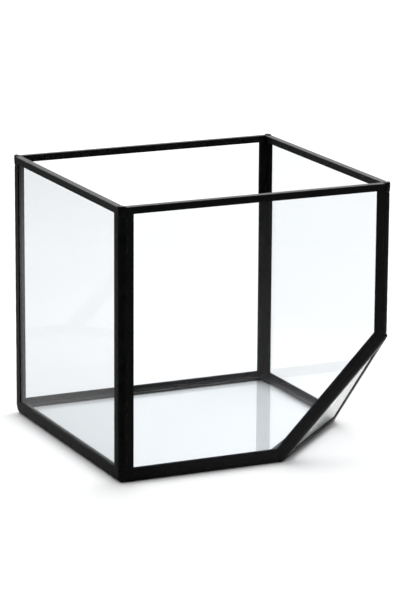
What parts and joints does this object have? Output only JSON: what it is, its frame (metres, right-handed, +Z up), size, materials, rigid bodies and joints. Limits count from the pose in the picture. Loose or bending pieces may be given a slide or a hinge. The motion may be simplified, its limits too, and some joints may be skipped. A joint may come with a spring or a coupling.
{
  "type": "open-top geometric glass terrarium",
  "caption": "Open-top clear glass box with a lower corner cut off by a triangular pane, its panes edged in black metal channel and soldered along the edges.",
  "frame": {"origin": "middle of the box's footprint, on the surface that it stands on", "axes": "+Z up, +X along the width towards the cut corner, -Y towards the front pane"},
  "size_m": [0.17, 0.16, 0.1596],
  "materials": {
    "clear_glass": "clear flat float glass, 2 mm walls and 5 mm base, polished",
    "black_channel": "folded metal U-channel, satin black paint",
    "black_solder": "hand-run solder bead, painted satin black, slightly uneven"
  },
  "bodies": {
    "root": {"channel_back_base": "black_channel", "channel_back_left": "black_channel", "channel_back_right": "black_channel", "channel_back_rim": "black_channel", "channel_base_back": "black_channel", "channel_base_corner": "black_channel", "channel_base_front": "black_channel", "channel_base_left": "black_channel", "channel_base_right": "black_channel", "channel_corner_base": "black_channel", "channel_corner_front": "black_channel", "channel_corner_right": "black_channel", "channel_front_base": "black_channel", "channel_front_corner": "black_channel", "channel_front_left": "black_channel", "channel_front_right": "black_channel", "channel_front_rim": "black_channel", "channel_left_back": "black_channel", "channel_left_base": "black_channel", "channel_left_front": "black_channel", "channel_left_rim": "black_channel", "channel_right_back": "black_channel", "channel_right_base": "black_channel", "channel_right_corner": "black_channel", "channel_right_front": "black_channel", "channel_right_rim": "black_channel", "glass_back": "clear_glass", "glass_base": "clear_glass", "glass_corner": "clear_glass", "glass_front": "clear_glass", "glass_left": "clear_glass", "glass_right": "clear_glass", "joint_bottom_back_left": "black_solder", "joint_bottom_back_right": "black_solder", "joint_bottom_front_left": "black_solder", "joint_cut_front": "black_solder", "joint_cut_post": "black_solder", "joint_cut_side": "black_solder", "joint_top_back_left": "black_solder", "joint_top_back_right": "black_solder", "joint_top_front_left": "black_solder", "joint_top_front_right": "black_solder", "seam_back_base": "black_solder", "seam_back_left": "black_solder", "seam_base_corner": "black_solder", "seam_front_base": "black_solder", "seam_front_corner": "black_solder", "seam_front_left": "black_solder", "seam_front_right": "black_solder", "seam_left_base": "black_solder", "seam_right_back": "black_solder", "seam_right_base": "black_solder", "seam_right_corner": "black_solder"}
  },
  "joints": []
}
